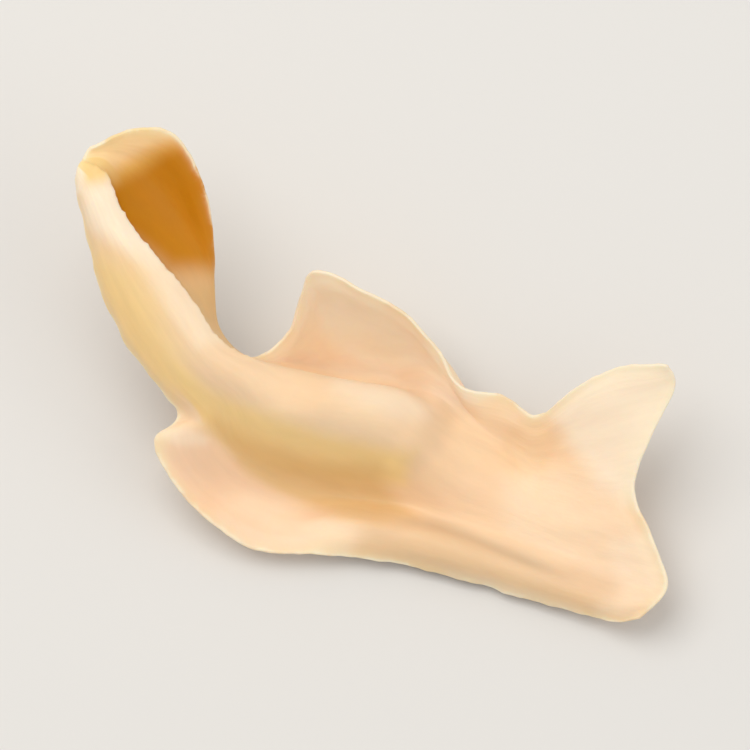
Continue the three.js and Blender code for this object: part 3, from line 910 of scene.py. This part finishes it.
class FleshLook(bpy.types.PropertyGroup):
    """Colours and finish of the dried flesh."""

    cream: colour_property("Cream", "Lighter colour of the flesh", (0.91, 0.675, 0.44))
    peach: colour_property("Peach", "Warmer colour of the flesh", (0.91, 0.64, 0.40))
    # Painted shade in the valley, on the lip, at the hood's foot and in the dent; also a tan behind the
    # horn's tip.
    tan: colour_property("Tan", "Colour of the valley, the lip and the hood's foot", (0.74, 0.48, 0.20))
    blush: colour_property("Blush", "Pinker colour of the flap", (0.91, 0.63, 0.425))
    # Straw is the colour of the horn's rim, tip and back, and the painted warm shade on the fold's near wall.
    straw: colour_property("Straw", "Yellower: the horn's back, the fold's near wall", (0.93, 0.66, 0.275))
    # Pale is also painted light: highlights on the horn's inner edge, the fold's end and the flap's margin,
    # and the lit wing and back flap.
    pale: colour_property("Pale", "Lightest colour: the horn's end, the flaps, the wing", (0.98, 0.81, 0.63))
    # Painted shade: the lighter edge of the golden shade inside the hood.
    amber: colour_property("Amber", "Colour between the hood's rim and its golden inside", (0.95, 0.60, 0.10))
    # Painted light: lifts the back flap's middle.
    ivory: colour_property("Ivory", "Cooler colour of the back flap's middle", (0.97, 0.87, 0.74))
    # Painted shade: the back flap's foot, the lip's upper part and end, and the fold's shaded end.
    dull: colour_property("Dull", "Duller: the back flap's foot, the lip, the fold's end", (0.62, 0.44, 0.28))
    # Painted golden shade: inside the horn, at the valley's upper end and along the horn's lower edge.
    gold: colour_property("Gold", "Colour inside the horn", (0.56, 0.22, 0.002))
    pale_edge: colour_property("Pale edge", "Colour of the thin dry margins", (0.95, 0.80, 0.60))
    # Painted shade in the groove at the foot of the lip.
    crease: colour_property("Crease", "Colour of the groove at the foot of the lip", (0.42, 0.29, 0.17))
    roughness: FloatProperty(
        name="Roughness", description="How dull the surface is", subtype="FACTOR",
        default=0.5, min=0.1, max=1.0)
    translucency: FloatProperty(
        name="Translucency", description="Share of the light that scatters inside the flesh",
        subtype="FACTOR", default=0.35, min=0.0, max=1.0)
    streak_strength: FloatProperty(
        name="Streaks", description="How much lighter and darker the long streaks are", subtype="FACTOR",
        default=0.025, min=0.0, max=0.3)


class StageLook(bpy.types.PropertyGroup):
    """Floor, lights and camera."""

    floor_colour: colour_property("Floor", "Colour of the floor", (0.74, 0.73, 0.71))
    camera_elevation: FloatProperty(
        name="Camera elevation", description="Angle of the camera above the floor", subtype="ANGLE",
        unit="ROTATION", default=math.radians(75), min=0.0, max=math.radians(90))
    camera_distance: FloatProperty(
        name="Camera distance", description="From the camera to the scale", subtype="DISTANCE", unit="LENGTH",
        default=1.5, min=0.2, max=3.0)
    frame_share: FloatProperty(
        name="Frame share", description="Share of the picture's width that the scale fills", subtype="FACTOR",
        default=0.8, min=0.1, max=1.0)
    key_power: FloatProperty(
        name="Key light", description="Power of the main light", unit="POWER", default=1.2, min=0.0)
    fill_power: FloatProperty(
        name="Fill light", description="Power of the light that softens the shade", unit="POWER",
        default=0.3, min=0.0)
    sky_strength: FloatProperty(
        name="Sky", description="Strength of the even light from all round", default=0.66, min=0.0, max=5.0)


class LILY_OT_scale(bpy.types.Operator):
    """Builds the finished surface of the dried lily bulb scale in place of its plain solid"""

    bl_idname = "lily.scale"
    bl_label = "Dried Lily Scale"

    def execute(self, context):
        vertices, faces, fields = finished_surface(context.scene.lily_shape)
        piece = new_mesh_object(PIECE, vertices, faces)
        keep_fields(piece.data, fields)
        piece.data.materials.append(dried_flesh_material(context.scene.lily_look))
        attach(piece, BODY)
        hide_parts(NODE)
        return {"FINISHED"}


class LILY_OT_stage(bpy.types.Operator):
    """Adds the pale floor, the soft lights and the camera"""

    bl_idname = "lily.stage"
    bl_label = "Studio Stage"

    def execute(self, context):
        scene = context.scene
        stage = scene.lily_stage
        self.add_floor(stage)
        target, width = framed_middle(stage.camera_elevation)
        for name, azimuth, elevation, size, power, colour in (KEY_LAMP, FILL_LAMP):
            power = getattr(stage, power)
            add_lamp(name, target, math.radians(azimuth), math.radians(elevation), size, power, colour)
        self.add_sky(scene, stage)
        camera = bpy.data.cameras.new("camera")
        camera.sensor_width = SENSOR
        camera.lens = SENSOR * stage.camera_distance * stage.frame_share / width
        camera.clip_start = 0.01
        holder = bpy.data.objects.new("camera", camera)
        holder.location = target + direction(0.0, stage.camera_elevation) * stage.camera_distance
        aim(holder, target)
        scene.collection.objects.link(holder)
        scene.camera = holder
        scene.view_settings.view_transform = "Standard"
        return {"FINISHED"}

    def add_floor(self, stage):
        """A flat square floor at the height of the object's lowest point."""
        half = FLOOR_SIZE / 2
        corners = np.array([(-half, -half, 0), (half, -half, 0), (half, half, 0), (-half, half, 0)], float)
        floor = new_mesh_object("floor", corners, np.array([[0, 1, 2, 3]]))
        floor.data.materials.append(floor_material(stage))

    def add_sky(self, scene, stage):
        """An even light from all round."""
        world = bpy.data.worlds.new("sky")
        world.use_nodes = True
        background = world.node_tree.nodes["Background"]
        background.inputs["Color"].default_value = opaque(SKY_COLOUR)
        background.inputs["Strength"].default_value = stage.sky_strength
        scene.world = world


class LILY_PT_panel(bpy.types.Panel):
    """Lists the sizes, the colours and the two steps"""

    bl_idname = "LILY_PT_panel"
    bl_label = "Dried Lily Scale"
    bl_space_type = "VIEW_3D"
    bl_region_type = "UI"
    bl_category = "Lily Scale"

    def draw(self, context):
        for group in (context.scene.lily_shape, context.scene.lily_look, context.scene.lily_stage):
            box = self.layout.box()
            for name in group.__annotations__:
                box.prop(group, name)
        self.layout.operator(LILY_OT_scale.bl_idname)
        self.layout.operator(LILY_OT_stage.bl_idname)


CLASSES = (ScaleShape, FleshLook, StageLook, LILY_OT_scale, LILY_OT_stage, LILY_PT_panel)


def register():
    for cls in CLASSES:
        bpy.utils.register_class(cls)
    bpy.types.Scene.lily_shape = PointerProperty(type=ScaleShape)
    bpy.types.Scene.lily_look = PointerProperty(type=FleshLook)
    bpy.types.Scene.lily_stage = PointerProperty(type=StageLook)


def unregister():
    del bpy.types.Scene.lily_stage
    del bpy.types.Scene.lily_look
    del bpy.types.Scene.lily_shape
    for cls in reversed(CLASSES):
        bpy.utils.unregister_class(cls)


def main():
    """Builds the piece and its stage."""
    register()
    bpy.ops.lily.scale()
    bpy.ops.lily.stage()


if __name__ == "__main__":
    main()
